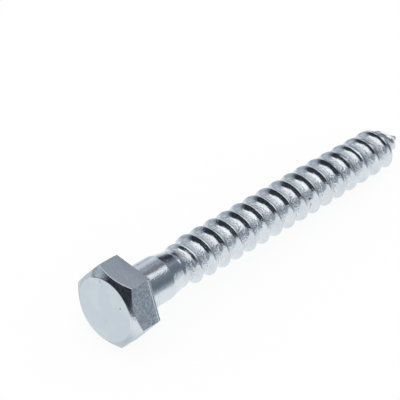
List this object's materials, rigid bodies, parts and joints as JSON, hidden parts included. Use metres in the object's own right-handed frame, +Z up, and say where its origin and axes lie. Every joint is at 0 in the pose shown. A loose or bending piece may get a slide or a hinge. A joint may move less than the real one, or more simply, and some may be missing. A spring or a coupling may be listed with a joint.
{
  "type": "coach screw",
  "caption": "Hexagon-head coach screw with a plain shank and a coarse wood thread running down to a gimlet point, lying on its side.",
  "frame": {"origin": "centre of the bounding box's footprint, on the floor the screw lies on", "axes": "+X from the head to the point, +Z up; the screw's own axis dips 2.49 degrees below +X because the head is wider than the thread"},
  "size_m": [0.1082, 0.022, 0.0193],
  "materials": {
    "zinc_plated_steel": "bright blue-white zinc plating"
  },
  "bodies": {
    "root": {"coach_screw": "zinc_plated_steel"}
  },
  "joints": []
}
